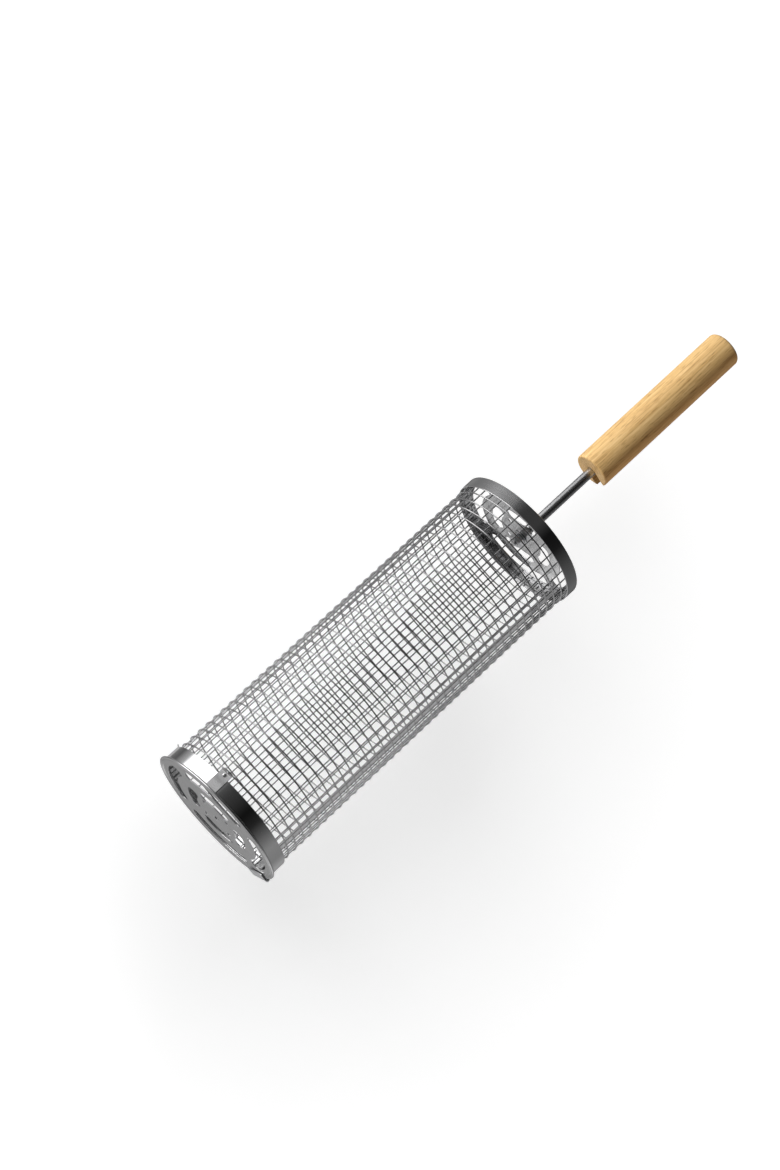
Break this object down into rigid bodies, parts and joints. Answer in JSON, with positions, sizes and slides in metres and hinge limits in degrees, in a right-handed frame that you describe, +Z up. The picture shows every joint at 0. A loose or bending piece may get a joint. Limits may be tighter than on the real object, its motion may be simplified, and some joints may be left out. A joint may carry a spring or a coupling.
{
  "type": "grill basket",
  "caption": "Round wire-mesh rolling grill basket with a hinged, clipped lid of pierced steel and a wooden handle on a steel rod.",
  "frame": {"origin": "on the plane that the basket lies on, straight below its axis at the front of the lid's rim", "axes": "+X along the basket's axis from the lid to the handle, +Z up; the lid's hinge is on the -Y side and its clips on the +Y side"},
  "size_m": [0.5207, 0.1149, 0.1122],
  "materials": {
    "stainless_sheet": "bright",
    "stainless_wire": "bright",
    "steel_hardware": "satin",
    "pale_wood": "fine-grained, unvarnished"
  },
  "bodies": {
    "basket": {"mesh_tube": "stainless_wire", "seam_strip": "stainless_sheet", "lid_collar": "stainless_sheet", "end_collar": "stainless_sheet", "end_plate": "stainless_sheet", "collar_hinge_leaf": "stainless_sheet", "hinge_pin": "steel_hardware", "inner_nut": "steel_hardware", "inner_washer": "steel_hardware", "outer_nut": "steel_hardware", "outer_washer": "steel_hardware", "rod": "stainless_sheet", "grip_insert": "steel_hardware", "key_pin": "steel_hardware", "wood_grip": "pale_wood"},
    "lid": {"lid_plate": "stainless_sheet", "lid_hinge_leaf": "stainless_sheet"},
    "upper_clip": {"clip_upper": "stainless_sheet", "clip_stud_upper": "steel_hardware"},
    "lower_clip": {"clip_lower": "stainless_sheet", "clip_stud_lower": "steel_hardware"}
  },
  "joints": [
    {"name": "lid_hinge", "type": "hinge", "parent": "basket", "child": "lid", "pos_m": [0.0009, -0.0571, 0.05608], "axis": [0, 0, 1], "range_deg": [0, 170]},
    {"name": "clip_upper_flex", "type": "hinge", "parent": "lid", "child": "upper_clip", "pos_m": [0.0018, 0.03938, 0.09411], "axis": [0, -0.6947, 0.7193], "range_deg": [0, 8], "stiffness_Nm_per_rad": 0.02},
    {"name": "clip_lower_flex", "type": "hinge", "parent": "lid", "child": "lower_clip", "pos_m": [0.0018, 0.03938, 0.01805], "axis": [0, 0.6947, 0.7193], "range_deg": [0, 8], "stiffness_Nm_per_rad": 0.02}
  ]
}
